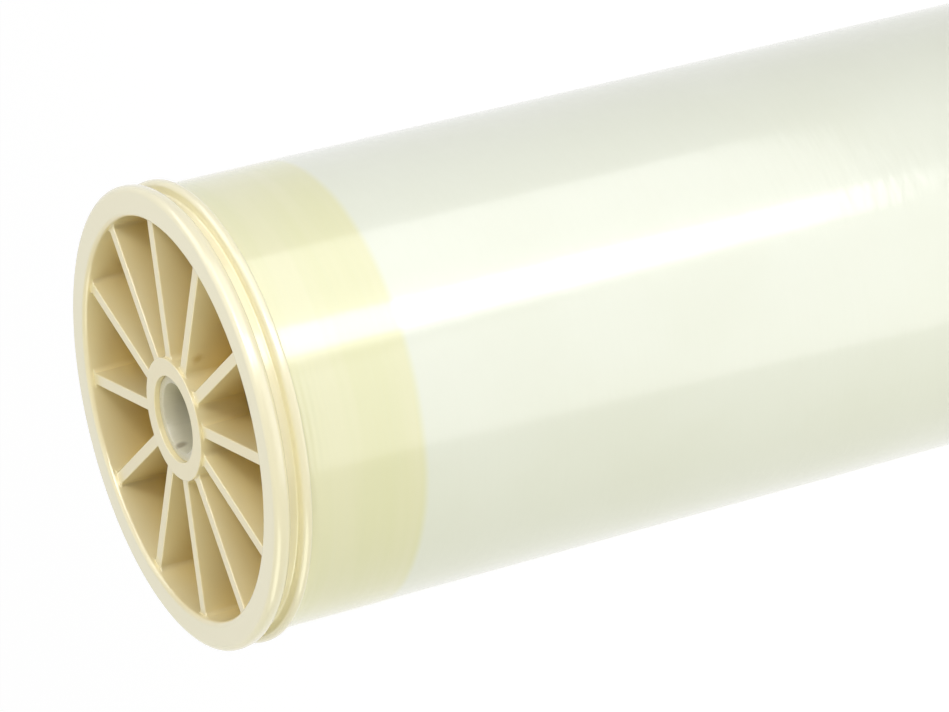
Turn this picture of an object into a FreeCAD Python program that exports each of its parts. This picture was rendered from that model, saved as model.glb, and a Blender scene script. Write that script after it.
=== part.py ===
import FreeCAD, Part

import math
import os

# A spiral-wound reverse osmosis element for an 8 inch pressure vessel.
# Frame: +Z runs along the product tube, the origin is the middle of the feed end's rim
# face, and the element stands on that face. Millimetres and degrees throughout.

# ------------------------------------------------------------------ product tube
TUBE_BORE_RADIUS = 14.3        # reamed ends, where an interconnector's O-rings seal
TUBE_REAMED_LENGTH = 60.0      # length of each reamed end
TUBE_REAM_STEP = 0.3           # how much tighter the tube is between the reamed ends
TUBE_WALL = 4.45               # at the reamed ends
TUBE_LEAD_IN = 1.0             # taper that guides a seal into the bore
TUBE_LEAD_IN_LENGTH = 3.5
TUBE_SETBACK = 2.3             # tube end below the hub's face
PERMEATE_HOLE_RADIUS = 1.6     # drillings that let permeate into the tube
PERMEATE_HOLE_PITCH = 175.0    # along the tube
PERMEATE_END_MARGIN = 45.0     # from the roll's end to the first drilling

# ------------------------------------------------------------------ membrane roll
ELEMENT_LENGTH = 1016.0        # rim face to rim face
CORE_WRAP_THICKNESS = 1.25     # permeate carrier wound on the tube under the leaves
ROLL_RADIUS = 92.0             # outside of the wound leaves
LEAF_GAP_STARTS = 3            # feed gaps between leaves that start side by side at the core
LEAF_GAP_QUARTERS = 4          # quarter turns that each gap makes on its way out
LEAF_GAP_WIDTH = 1.3           # feed channel left open between two leaves at the end face
LEAF_GAP_DEPTH = 1.5
LEAF_GAP_MARGIN = 6.0          # glued leaf edge left whole at the core and at the outside
FILM_THICKNESS = 0.5           # plastic film round the finished roll
TAPE_THICKNESS = 0.7           # tape band that binds each cap's skirt to the film
TAPE_WIDTH = 53.0              # from the cap's flange

# ------------------------------------------------------------------ end caps
ROLL_SEAT_WIDTH = 4.5          # ledge inside the rim that the roll's edge bears on
SKIRT_LENGTH = 8.0             # from the flange's back to the face the roll bears on
RIM_HEIGHT = 3.4               # rim above the fibreglass shell
RIM_WIDTH = 8.0
RIM_OUTER_ROUND = 1.8
RIM_INNER_ROUND = 2.0
RIM_BACK_ROUND = 4.0           # full round where the rim falls into the seal groove
SEAL_GROOVE_WIDTH = 4.8
SEAL_GROOVE_DEPTH = 5.5
FLANGE_HEIGHT = 3.2            # second, thinner flange above the shell
FLANGE_WIDTH = 4.2
FLANGE_FRONT_ROUND = 2.4
FLANGE_BACK_ROUND = 1.2
HUB_CLEARANCE = 0.05           # between the hub's bore and the tube
HUB_WALL = 7.9
HUB_RECESS = 1.5               # hub face below the rim face
HUB_EDGE = 1.0                 # eased outer edge of the hub's face
SPOKE_COUNT = 12
SPOKE_RECESS = 3.0             # spoke edges below the rim face
SPOKE_THICKNESS = 5.2          # at the front edge
SPOKE_DRAFT = 1.0              # degrees, thicker towards the roll
SPOKE_HUB_CORNER = 2.6         # corner radius of a window at the hub
SPOKE_RIM_CORNER = 2.0         # corner radius of a window at the rim

# ------------------------------------------------------------------ shell and seal
SHELL_WALL = 3.9               # wound fibreglass over the tape bands
SEAL_STANDOFF = 2.0            # relaxed lip beyond the rim, squeezed by the vessel
SEAL_SIDE_CLEARANCE = 0.2
SEAL_SEAT_CLEARANCE = 0.05
SEAL_HEEL = 1.8                # solid back of the U-cup
SEAL_LIP_THICKNESS = 1.2

# ------------------------------------------------------------------ worked-out sizes
tube_outer_radius = TUBE_BORE_RADIUS + TUBE_WALL
tube_middle_radius = TUBE_BORE_RADIUS - TUBE_REAM_STEP
tube_start = HUB_RECESS + TUBE_SETBACK
tube_end = ELEMENT_LENGTH - tube_start

roll_bore_radius = tube_outer_radius + CORE_WRAP_THICKNESS
flange_start = RIM_WIDTH + SEAL_GROOVE_WIDTH
flange_end = flange_start + FLANGE_WIDTH
roll_start = flange_end + SKIRT_LENGTH
roll_end = ELEMENT_LENGTH - roll_start
tape_end = flange_end + TAPE_WIDTH
film_radius = ROLL_RADIUS + FILM_THICKNESS
tape_radius = film_radius + TAPE_THICKNESS

shell_radius = tape_radius + SHELL_WALL
rim_radius = shell_radius + RIM_HEIGHT
rim_bore_radius = ROLL_RADIUS - ROLL_SEAT_WIDTH
groove_radius = rim_radius - SEAL_GROOVE_DEPTH
flange_radius = shell_radius + FLANGE_HEIGHT
hub_bore_radius = tube_outer_radius + HUB_CLEARANCE
hub_radius = hub_bore_radius + HUB_WALL
half_window = math.pi / SPOKE_COUNT

AXIS = FreeCAD.Vector(0, 0, 1)
CENTRE = FreeCAD.Vector(0, 0, 0)


# ------------------------------------------------------------------ shared operations
def polar(radius, angle, height):
    """Give the point at a radius and angle about the axis."""
    return FreeCAD.Vector(radius * math.cos(angle), radius * math.sin(angle), height)


def eased(before, corner, after, rounding):
    """Break a corner into flats that follow a round: about one for each mm of it, at least two.

    The flats' ends lie on the round at even angles about its centre.
    """
    to_before = (before - corner).normalize()
    to_after = (after - corner).normalize()
    half_angle = to_before.getAngle(to_after) / 2
    reach = rounding / math.tan(half_angle)
    inward = (to_before + to_after).normalize()
    centre = corner + inward * (rounding / math.sin(half_angle))
    first = corner + to_before * reach - centre
    last = corner + to_after * reach - centre
    turn = math.pi - 2 * half_angle
    flats = max(2, round(rounding))
    return [
        centre + (first * math.sin(turn * (1 - step / flats)) + last * math.sin(turn * step / flats)) * (1 / math.sin(turn))
        for step in range(flats + 1)
    ]


def turned(profile):
    """Revolve a closed profile of (radius, height) or (radius, height, rounding) corners."""
    corners = [FreeCAD.Vector(corner[0], 0, corner[1]) for corner in profile]
    points = []
    for index, corner in enumerate(profile):
        here = corners[index]
        if len(corner) == 3:
            after = corners[(index + 1) % len(corners)]
            points += eased(corners[index - 1], here, after, corner[2])
        else:
            points.append(here)
    outline = Part.makePolygon(points + points[:1])
    return Part.Face(outline).revolve(CENTRE, AXIS, 360)


def sleeve(inner_radius, outer_radius, start, end):
    """Make a plain hollow cylinder between two heights."""
    outer = Part.makeCylinder(outer_radius, end - start, FreeCAD.Vector(0, 0, start))
    inner = Part.makeCylinder(inner_radius, end - start, FreeCAD.Vector(0, 0, start))
    return outer.cut(inner)


def at_brine_end(shape):
    """Turn a piece made at the feed end end for end, to its place at the brine end."""
    moved = shape.copy()
    moved.rotate(CENTRE, FreeCAD.Vector(1, 0, 0), 180)
    moved.translate(FreeCAD.Vector(0, 0, ELEMENT_LENGTH))
    return moved


# ------------------------------------------------------------------ end cap
def corner_limit(radius, half_spoke):
    """Give the largest hub corner that leaves the window some hub wall between corners."""
    reach = math.sin(0.8 * half_window)
    return (radius * reach - half_spoke) / (1 - reach)


def window_corner(wall_radius, side, rounding, half_spoke):
    """Round one corner of a window, where a spoke's flank meets the hub (side 1) or rim (-1).

    The arc's centre lies one rounding away from both walls. It is worked out for the spoke
    above the window's middle line, and returned as its ends on the wall and on the flank.
    """
    centre_radius = wall_radius + side * rounding
    off_spoke = half_spoke + rounding
    centre_angle = half_window - math.asin(off_spoke / centre_radius)
    centre = polar(centre_radius, centre_angle, 0)
    on_wall = polar(wall_radius, centre_angle, 0)
    square_to_spoke = polar(rounding, half_window + math.pi / 2, 0)
    on_flank = centre + square_to_spoke
    to_corner = ((on_wall - centre) + square_to_spoke).normalize()
    middle = centre + to_corner * rounding
    return on_wall, middle, on_flank


def window_outline(height, half_spoke):
    """Close the outline of the window on the +X side of the hub, at one height."""
    hub_rounding = min(SPOKE_HUB_CORNER, corner_limit(hub_radius, half_spoke))
    hub_wall, hub_middle, hub_flank = window_corner(hub_radius, 1, hub_rounding, half_spoke)
    rim_wall, rim_middle, rim_flank = window_corner(
        rim_bore_radius, -1, SPOKE_RIM_CORNER, half_spoke)

    def below(point):
        return FreeCAD.Vector(point.x, -point.y, 0)

    hub_front = FreeCAD.Vector(hub_radius, 0, 0)
    rim_front = FreeCAD.Vector(rim_bore_radius, 0, 0)
    edges = [
        Part.Arc(below(hub_wall), hub_front, hub_wall).toShape(),
        Part.Arc(hub_wall, hub_middle, hub_flank).toShape(),
        Part.makeLine(hub_flank, rim_flank),
        Part.Arc(rim_flank, rim_middle, rim_wall).toShape(),
        Part.Arc(rim_wall, rim_front, below(rim_wall)).toShape(),
        Part.Arc(below(rim_wall), below(rim_middle), below(rim_flank)).toShape(),
        Part.makeLine(below(rim_flank), below(hub_flank)),
        Part.Arc(below(hub_flank), below(hub_middle), below(hub_wall)).toShape(),
    ]
    wire = Part.Wire(edges)
    wire.translate(FreeCAD.Vector(0, 0, height))
    return wire


def window_cutter():
    """Loft one window between two spokes, narrower towards the roll by the moulding draft."""
    half_spoke = SPOKE_THICKNESS / 2
    draft = (roll_start - SPOKE_RECESS) * math.tan(math.radians(SPOKE_DRAFT))
    front = window_outline(SPOKE_RECESS, half_spoke)
    back = window_outline(roll_start, half_spoke + draft)
    return Part.makeLoft([front, back], True, True)


def end_cap():
    """Make the moulded end cap that stops the roll telescoping, as it sits at the feed end."""
    body = turned([
        (rim_bore_radius, 0, RIM_INNER_ROUND),
        (rim_radius, 0, RIM_OUTER_ROUND),
        (rim_radius, RIM_WIDTH, RIM_BACK_ROUND),
        (groove_radius, RIM_WIDTH),
        (groove_radius, flange_start),
        (flange_radius, flange_start, FLANGE_FRONT_ROUND),
        (flange_radius, flange_end, FLANGE_BACK_ROUND),
        (film_radius, flange_end),
        (film_radius, roll_start),
        (hub_bore_radius, roll_start),
        (hub_bore_radius, HUB_RECESS),
        (hub_radius - HUB_EDGE, HUB_RECESS),
        (hub_radius, HUB_RECESS + HUB_EDGE),
        (hub_radius, SPOKE_RECESS),
        (rim_bore_radius, SPOKE_RECESS),
    ])
    window = window_cutter()
    windows = []
    for number in range(SPOKE_COUNT):
        turned_window = window.copy()
        turned_window.rotate(CENTRE, AXIS, 360 * number / SPOKE_COUNT)
        windows.append(turned_window)
    return body.cut(windows)


# ------------------------------------------------------------------ tube and roll
def permeate_drills():
    """Make the drills for the tube's permeate holes, each through both walls."""
    drills = []
    height = roll_start + PERMEATE_END_MARGIN
    across = True
    while height <= roll_end - PERMEATE_END_MARGIN:
        direction = FreeCAD.Vector(1, 0, 0) if across else FreeCAD.Vector(0, 1, 0)
        start = direction * (-2 * tube_outer_radius) + AXIS * height
        drills.append(Part.makeCylinder(
            PERMEATE_HOLE_RADIUS, 4 * tube_outer_radius, start, direction))
        height += PERMEATE_HOLE_PITCH
        across = not across
    return drills


def product_tube():
    """Turn the perforated tube with its reamed ends and lead-in chamfers."""
    mouth_radius = TUBE_BORE_RADIUS + TUBE_LEAD_IN
    tube = turned([
        (tube_outer_radius, tube_start, 0),
        (tube_outer_radius, tube_end, 0),
        (mouth_radius, tube_end, 0),
        (TUBE_BORE_RADIUS, tube_end - TUBE_LEAD_IN_LENGTH, 0),
        (TUBE_BORE_RADIUS, tube_end - TUBE_REAMED_LENGTH, 0),
        (tube_middle_radius, tube_end - TUBE_REAMED_LENGTH, 0),
        (tube_middle_radius, tube_start + TUBE_REAMED_LENGTH, 0),
        (TUBE_BORE_RADIUS, tube_start + TUBE_REAMED_LENGTH, 0),
        (TUBE_BORE_RADIUS, tube_start + TUBE_LEAD_IN_LENGTH, 0),
        (mouth_radius, tube_start, 0),
    ])
    return tube.cut(permeate_drills())


def spiral(first_angle, shift):
    """Draw a spiral of quarter-circle arcs, moved in or out by a fixed shift.

    Each quarter's centre moves away from its end by the growth in radius, so neighbouring
    arcs share a tangent, and the four centres are the corners of a square on the axis.
    """
    inner = roll_bore_radius + LEAF_GAP_MARGIN
    growth = (ROLL_RADIUS - LEAF_GAP_MARGIN - inner) / LEAF_GAP_QUARTERS
    quarter = math.pi / 2
    centre = polar(growth / 2, first_angle + quarter, 0) + polar(growth / 2, first_angle + math.pi, 0)
    radius = inner + growth / 2 + shift
    angle = first_angle
    arcs = []
    for number in range(LEAF_GAP_QUARTERS):
        start = centre + polar(radius, angle, 0)
        middle = centre + polar(radius, angle + quarter / 2, 0)
        end = centre + polar(radius, angle + quarter, 0)
        arcs.append(Part.Arc(start, middle, end).toShape())
        angle += quarter
        centre = centre - polar(growth, angle, 0)
        radius += growth
    return arcs


def leaf_gap(first_angle):
    """Make the cutter for one spiral feed gap between leaves."""
    inside = spiral(first_angle, -LEAF_GAP_WIDTH / 2)
    outside = spiral(first_angle, LEAF_GAP_WIDTH / 2)
    core_end = Part.makeLine(outside[0].Vertexes[0].Point, inside[0].Vertexes[0].Point)
    outer_end = Part.makeLine(inside[-1].Vertexes[-1].Point, outside[-1].Vertexes[-1].Point)
    outline = Part.Wire(inside + [outer_end] + outside[::-1] + [core_end])
    return Part.Face(outline).extrude(AXIS * LEAF_GAP_DEPTH)


def membrane_roll():
    """Make the wound leaves as one solid, with the feed gaps open in both end faces."""
    roll = sleeve(roll_bore_radius, ROLL_RADIUS, roll_start, roll_end)
    gaps = []
    for number in range(LEAF_GAP_STARTS):
        gap = leaf_gap(2 * math.pi * number / LEAF_GAP_STARTS)
        for height in (roll_start, roll_end - LEAF_GAP_DEPTH):
            placed = gap.copy()
            placed.translate(AXIS * height)
            gaps.append(placed)
    return roll.cut(gaps)


def end_tape():
    """Make the tape band that binds the feed end's cap to the film."""
    return sleeve(film_radius, tape_radius, flange_end, tape_end)


# ------------------------------------------------------------------ shell and seal
def fibreglass_shell():
    """Wind the shell over both tape bands and the film, from flange to flange."""
    far_flange = ELEMENT_LENGTH - flange_end
    far_tape = ELEMENT_LENGTH - tape_end
    return turned([
        (shell_radius, flange_end),
        (shell_radius, far_flange),
        (tape_radius, far_flange),
        (tape_radius, far_tape),
        (film_radius, far_tape),
        (film_radius, tape_end),
        (tape_radius, tape_end),
        (tape_radius, flange_end),
    ])


def brine_seal():
    """Turn the U-cup seal in the feed end's groove, open towards the feed."""
    seat = groove_radius + SEAL_SEAT_CLEARANCE
    front = RIM_WIDTH + SEAL_SIDE_CLEARANCE
    back = flange_start - SEAL_SIDE_CLEARANCE
    valley = back - SEAL_HEEL
    tip = rim_radius + SEAL_STANDOFF
    heel_radius = flange_radius - SEAL_LIP_THICKNESS / 2
    return turned([
        (seat, front),
        (seat + SEAL_LIP_THICKNESS, front),
        (heel_radius - 2 * SEAL_LIP_THICKNESS, valley),
        (tip - SEAL_LIP_THICKNESS, front),
        (tip, front + SEAL_LIP_THICKNESS / 2),
        (heel_radius, back),
        (seat, back),
    ])


# ------------------------------------------------------------------ the element
def build():
    """Make every piece in its place, by node name."""
    cap = end_cap()
    tape = end_tape()
    return {
        "product_tube": product_tube(),
        "core_wrap": sleeve(tube_outer_radius, roll_bore_radius, roll_start, roll_end),
        "membrane_roll": membrane_roll(),
        "wrap_film": sleeve(ROLL_RADIUS, film_radius, roll_start, roll_end),
        "feed_end_tape": tape,
        "brine_end_tape": at_brine_end(tape),
        "feed_end_cap": cap,
        "brine_end_cap": at_brine_end(cap),
        "fibreglass_shell": fibreglass_shell(),
        "brine_seal": brine_seal(),
    }


os.makedirs("parts", exist_ok=True)
for name, shape in build().items():
    shape.exportStep("parts/" + name + ".step")
    print(name, "volume", round(shape.Volume), "valid", shape.isValid())
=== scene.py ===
"""Looks of a spiral-wound reverse osmosis element for an 8 inch pressure vessel.

The element stands on its feed end, with +Z along the product tube and the brine end on top.
Shapes are in millimetres, and become metres where a mesh is made. Lengths in the finishes,
the lamps and the view are in metres.
"""

import logging
import math
from collections.abc import Mapping, Sequence
from dataclasses import dataclass
from enum import Enum
from functools import cached_property

import bmesh
import bpy
import numpy as np
from mathutils import Matrix, Vector


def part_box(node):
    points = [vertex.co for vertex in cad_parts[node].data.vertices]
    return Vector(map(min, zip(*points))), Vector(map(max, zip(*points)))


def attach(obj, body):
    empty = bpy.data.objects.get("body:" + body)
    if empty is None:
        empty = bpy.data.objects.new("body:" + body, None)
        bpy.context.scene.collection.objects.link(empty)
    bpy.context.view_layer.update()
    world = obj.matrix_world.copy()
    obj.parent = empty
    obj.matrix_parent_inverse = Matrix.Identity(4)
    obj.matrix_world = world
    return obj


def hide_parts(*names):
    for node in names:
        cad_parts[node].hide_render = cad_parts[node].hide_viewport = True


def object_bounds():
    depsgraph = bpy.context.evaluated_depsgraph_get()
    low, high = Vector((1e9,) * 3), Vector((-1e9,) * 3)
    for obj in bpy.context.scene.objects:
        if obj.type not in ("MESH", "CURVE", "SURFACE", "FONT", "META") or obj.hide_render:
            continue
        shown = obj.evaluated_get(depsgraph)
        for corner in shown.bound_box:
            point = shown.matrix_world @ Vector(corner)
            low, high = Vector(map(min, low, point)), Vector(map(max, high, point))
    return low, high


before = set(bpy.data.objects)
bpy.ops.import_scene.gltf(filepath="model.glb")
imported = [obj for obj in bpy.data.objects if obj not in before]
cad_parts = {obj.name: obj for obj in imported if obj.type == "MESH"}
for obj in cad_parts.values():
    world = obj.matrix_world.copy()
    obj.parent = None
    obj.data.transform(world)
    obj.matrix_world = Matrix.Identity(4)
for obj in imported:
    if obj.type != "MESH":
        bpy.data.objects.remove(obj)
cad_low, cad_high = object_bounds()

log = logging.getLogger("element")

METRES = 0.001
FULL_TURN = 2 * math.pi
SAME_POINT = 2e-6
NO_LENGTH = 1e-7
Socket = bpy.types.NodeSocket
Material = bpy.types.Material
Triple = tuple[float, float, float]
WHITE: Triple = (1.0, 1.0, 1.0)


class End(Enum):
    """The two ends of the element."""

    FEED = "feed"
    BRINE = "brine"


# ---- places from the CAD
@dataclass(frozen=True)
class Span:
    """Where one CAD node lies: its outside radius and its reach along the axis, in mm."""

    radius: float
    start: float
    end: float

    @classmethod
    def of(cls, node: str) -> "Span":
        """Read the span of a CAD node, by its name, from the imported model."""
        low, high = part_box(node)
        return cls(high.x / METRES, low.z / METRES, high.z / METRES)

    @property
    def length(self) -> float:
        """Length along the axis."""
        return self.end - self.start


# ---- surfaces
@dataclass(frozen=True)
class Sheet:
    """A surface in the making: points in mm, and four-cornered faces as point numbers."""

    points: np.ndarray
    faces: np.ndarray

    @classmethod
    def grid(
        cls, points: np.ndarray, wrap_rows: bool = False, wrap_columns: bool = False
    ) -> "Sheet":
        """Join a grid of points into faces.

        Each face takes the points (i, j), (i, j+1), (i+1, j+1) and (i+1, j), where i+1 and
        j+1 return to 0 past the last row or column of a grid that wraps.

        Args:
            points: Array of rows by columns by 3.
            wrap_rows: Whether the last row joins the first.
            wrap_columns: Whether the last column joins the first.

        Returns:
            The surface.
        """
        rows, columns = points.shape[:2]
        number = np.arange(rows * columns).reshape(rows, columns)
        below = np.roll(number, -1, axis=0)
        right = np.roll(number, -1, axis=1)
        both = np.roll(below, -1, axis=1)
        last_row = rows if wrap_rows else rows - 1
        last_column = columns if wrap_columns else columns - 1
        faces = np.stack([number, right, both, below], axis=-1)[:last_row, :last_column]
        return cls(points.reshape(-1, 3), faces.reshape(-1, 4))

    @classmethod
    def joined(cls, sheets: Sequence["Sheet"]) -> "Sheet":
        """Put several surfaces into one.

        Args:
            sheets: The surfaces.

        Returns:
            One surface with every point and face.
        """
        offsets = np.cumsum([0] + [len(sheet.points) for sheet in sheets])
        faces = [sheet.faces + offset for sheet, offset in zip(sheets, offsets)]
        return cls(np.concatenate([sheet.points for sheet in sheets]), np.concatenate(faces))

    def end_for_end(self, length: float) -> "Sheet":
        """Turn the surface to the other end: (x, y, z) goes to (x, -y, length - z)."""
        turned = self.points * np.array([1.0, -1.0, -1.0]) + np.array([0.0, 0.0, length])
        return Sheet(turned, self.faces)


def arc_steps(
    before: np.ndarray, corner: np.ndarray, after: np.ndarray, radius: float, steps: int
) -> np.ndarray:
    """Round one corner of a flat profile with a circular arc.

    The arc's centre lies on the corner's bisector, radius / sin(half angle) away. The arc
    goes from the tangent point on one side to that on the other by even turns of the
    vector from the centre.

    Args:
        before: The point before the corner.
        corner: The corner.
        after: The point after it.
        radius: Radius of the round in mm.
        steps: Number of chords in the arc.

    Returns:
        The arc's points, steps + 1 by 2.
    """
    back = (before - corner) / np.linalg.norm(before - corner)
    ahead = (after - corner) / np.linalg.norm(after - corner)
    half = math.acos(float(np.clip(back @ ahead, -1, 1))) / 2
    bisector = (back + ahead) / np.linalg.norm(back + ahead)
    centre = corner + bisector * radius / math.sin(half)
    first = corner + back * radius / math.tan(half) - centre
    last = corner + ahead * radius / math.tan(half) - centre
    sweep = math.pi - 2 * half
    part = np.linspace(0, 1, steps + 1)[:, None]
    turned = first * np.sin((1 - part) * sweep) + last * np.sin(part * sweep)
    return centre + turned / math.sin(sweep)


def rounded(corners: Sequence[Sequence[float]], closed: bool = True, steps: int = 5) -> np.ndarray:
    """Round the corners of a profile.

    Args:
        corners: (radius, height) or (radius, height, rounding) in mm.
        closed: Whether the last corner joins the first.
        steps: Chords in each rounded corner.

    Returns:
        The profile's points, n by 2.
    """
    flat = [np.array(corner[:2], float) for corner in corners]
    count = len(flat)
    runs = []
    for index, corner in enumerate(corners):
        inside = closed or 0 < index < count - 1
        if len(corner) == 3 and inside:
            after = flat[(index + 1) % count]
            runs.append(arc_steps(flat[index - 1], flat[index], after, corner[2], steps))
        else:
            runs.append(flat[index][None, :])
    return np.concatenate(runs)


def even_angles(count: int) -> np.ndarray:
    """Angles that share out a full turn, in radians."""
    return np.arange(count) * (FULL_TURN / count)


def on_circle(angles: np.ndarray) -> np.ndarray:
    """Points (cos a, sin a) of the unit circle, one per angle in radians."""
    return np.stack([np.cos(angles), np.sin(angles)], axis=1)


def about_axis(
    radius: np.ndarray | float, angle: np.ndarray, height: np.ndarray | float
) -> np.ndarray:
    """Place points (r cos a, r sin a, h) for the radii r, angles a and heights h of a grid."""
    x, y = radius * np.cos(angle), radius * np.sin(angle)
    return np.stack(np.broadcast_arrays(x, y, height), axis=-1)


def revolved(profile: np.ndarray, angles: np.ndarray, closed: bool = True) -> Sheet:
    """Turn a profile about the axis: (r, z) becomes (r cos a, r sin a, z) at every angle a."""
    points = about_axis(profile[None, :, 0], angles[:, None], profile[None, :, 1])
    return Sheet.grid(points, wrap_rows=True, wrap_columns=closed)


# ---- finishes
def shade(red: int, green: int, blue: int) -> Triple:
    """Give a colour for a shader from its display values.

    Each value v in 0..255 becomes ((v / 255 + 0.055) / 1.055) to the power 2.4, or
    v / 255 / 12.92 near black.

    Args:
        red: Red on a display.
        green: Green on a display.
        blue: Blue on a display.

    Returns:
        The linear colour.
    """
    values = np.array([red, green, blue]) / 255
    linear = np.where(values <= 0.04045, values / 12.92, ((values + 0.055) / 1.055) ** 2.4)
    return tuple(float(value) for value in linear)


class Graph:
    """The shader nodes of a material or of the world, put in one by one."""

    def __init__(self, owner: Material | bpy.types.World) -> None:
        """Start without nodes.

        Args:
            owner: The material or the world.
        """
        self.owner = owner
        self.owner.use_nodes = True
        self.nodes = self.owner.node_tree.nodes
        self.links = self.owner.node_tree.links
        self.nodes.clear()

    @classmethod
    def of_material(cls, name: str) -> "Graph":
        """Start a new material of that name."""
        return cls(bpy.data.materials.new(name))

    @cached_property
    def position(self) -> Socket:
        """The object's coordinates, in metres."""
        return self.put("ShaderNodeTexCoord").outputs["Object"]

    def put(
        self, kind: str, inputs: Mapping[str | int, object] | None = None, **settings: object
    ) -> bpy.types.Node:
        """Add a node.

        Args:
            kind: Blender's name for the node type.
            inputs: A value, or the output that feeds it, for each input's name or number.
            settings: The node's own settings.

        Returns:
            The node.
        """
        node = self.nodes.new(kind)
        for name, value in settings.items():
            setattr(node, name, value)
        for name, value in (inputs or {}).items():
            if isinstance(value, Socket):
                self.links.new(value, node.inputs[name])
            elif node.inputs[name].type == "RGBA":
                node.inputs[name].default_value = (*value, 1.0)
            else:
                node.inputs[name].default_value = value
        return node

    def stretched(self, scale: Triple) -> Socket:
        """Give the object's coordinates, scaled along each axis."""
        node = self.put("ShaderNodeMapping", {"Vector": self.position, "Scale": scale})
        return node.outputs["Vector"]

    def distance(self, vector: Socket, place: Triple) -> Socket:
        """Give how far a vector lies from a place."""
        node = self.put("ShaderNodeVectorMath", {0: vector, 1: place}, operation="DISTANCE")
        return node.outputs["Value"]

    def noise(self, scale: float | Triple, detail: float = 3.0) -> Socket:
        """Give smooth noise from 0 to 1.

        Args:
            scale: Features per metre, alike every way or along each axis.
            detail: Octaves.

        Returns:
            The noise's output.
        """
        inputs = {"Detail": detail}
        if isinstance(scale, tuple):
            inputs |= {"Vector": self.stretched(scale), "Scale": 1.0}
        else:
            inputs |= {"Vector": self.position, "Scale": scale}
        return self.put("ShaderNodeTexNoise", inputs).outputs["Fac"]

    def calculate(self, operation: str, *values: Socket | float) -> Socket:
        """Do one step of arithmetic, named as Blender names it, on two or three values."""
        return self.put("ShaderNodeMath", dict(enumerate(values)), operation=operation).outputs[0]

    def sum_of(self, first: Socket | float, second: Socket | float) -> Socket:
        """Add two values."""
        return self.calculate("ADD", first, second)

    def scaled(self, value: Socket, factor: float, offset: float = 0.0) -> Socket:
        """Multiply a value, and add an offset."""
        return self.calculate("MULTIPLY_ADD", value, factor, offset)

    def between(
        self, value: Socket, low: float, high: float,
        to_low: float = 0.0, to_high: float = 1.0, smooth: bool = True,
    ) -> Socket:
        """Map a range of a value onto another range, and hold it past the ends.

        Args:
            value: The value.
            low: Where the range starts.
            high: Where it ends.
            to_low: Result at the start.
            to_high: Result at the end.
            smooth: Whether the change eases in and out.

        Returns:
            The result's output.
        """
        inputs = {
            "Value": value, "From Min": low, "From Max": high, "To Min": to_low, "To Max": to_high}
        kind = "SMOOTHSTEP" if smooth else "LINEAR"
        return self.put("ShaderNodeMapRange", inputs, interpolation_type=kind).outputs["Result"]

    def mixed(
        self, share: Socket | float, first: Socket | Triple, second: Socket | Triple
    ) -> Socket:
        """Mix two colours, inputs 6 and 7 of the node: share 0 gives the first, 1 the second."""
        inputs = {0: share, 6: first, 7: second}
        return self.put("ShaderNodeMix", inputs, data_type="RGBA").outputs[2]

    def along_axis(self) -> Socket:
        """Height above the feed end, in metres."""
        return self.put("ShaderNodeSeparateXYZ", {0: self.position}).outputs["Z"]

    def below_end(self, length: float) -> Socket:
        """Depth below the nearer end's face in metres, for an element of a length in mm."""
        height = self.along_axis()
        return self.calculate(
            "MINIMUM", height, self.calculate("SUBTRACT", length * METRES, height))

    def bump(
        self, height: Socket, depth: float, strength: float, under: Socket | None = None
    ) -> Socket:
        """Give a normal that follows a relief.

        Args:
            height: The relief, 0 to 1.
            depth: Depth of the relief in metres.
            strength: Share of the effect.
            under: Normal of the relief below this one.

        Returns:
            The normal's output.
        """
        inputs = {"Height": height, "Distance": depth, "Strength": strength}
        if under is not None:
            inputs["Normal"] = under
        return self.put("ShaderNodeBump", inputs).outputs["Normal"]

    def done(self, **inputs: object) -> Material:
        """Close the material with a Principled shader.

        Args:
            inputs: The shader's inputs, with _ for a space in their names.

        Returns:
            The material.
        """
        named = {name.replace("_", " "): value for name, value in inputs.items()}
        shader = self.put("ShaderNodeBsdfPrincipled", named)
        self.put("ShaderNodeOutputMaterial", {"Surface": shader.outputs["BSDF"]})
        return self.owner


@dataclass(frozen=True)
class Mark:
    """One soft mark: its place, core and reach are in metres."""

    colour: Triple
    place: Triple
    core: float
    reach: float
    share: float = 0.55
    stretch: float = 1.0
    raggedness: float = 0.0
    ragged_scale: float = 400.0

    def over(self, graph: Graph, tone: Socket) -> Socket:
        """Lay the mark over a tone.

        The mark keeps its full share up to its core's radius, and fades to nothing at its
        reach. Along the axis both are longer by the stretch.

        Args:
            graph: The finish's nodes.
            tone: The tone without the mark.

        Returns:
            The tone with it.
        """
        across, along, up = self.place
        flattened = graph.stretched((1.0, 1.0, 1.0 / self.stretch))
        distance = graph.distance(flattened, (across, along, up / self.stretch))
        if self.raggedness:
            ragged = graph.scaled(graph.noise(self.ragged_scale), self.raggedness)
            distance = graph.sum_of(distance, ragged)
        spot = graph.between(distance, self.core, self.reach, self.share, 0.0)
        return graph.mixed(spot, tone, self.colour)


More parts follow.
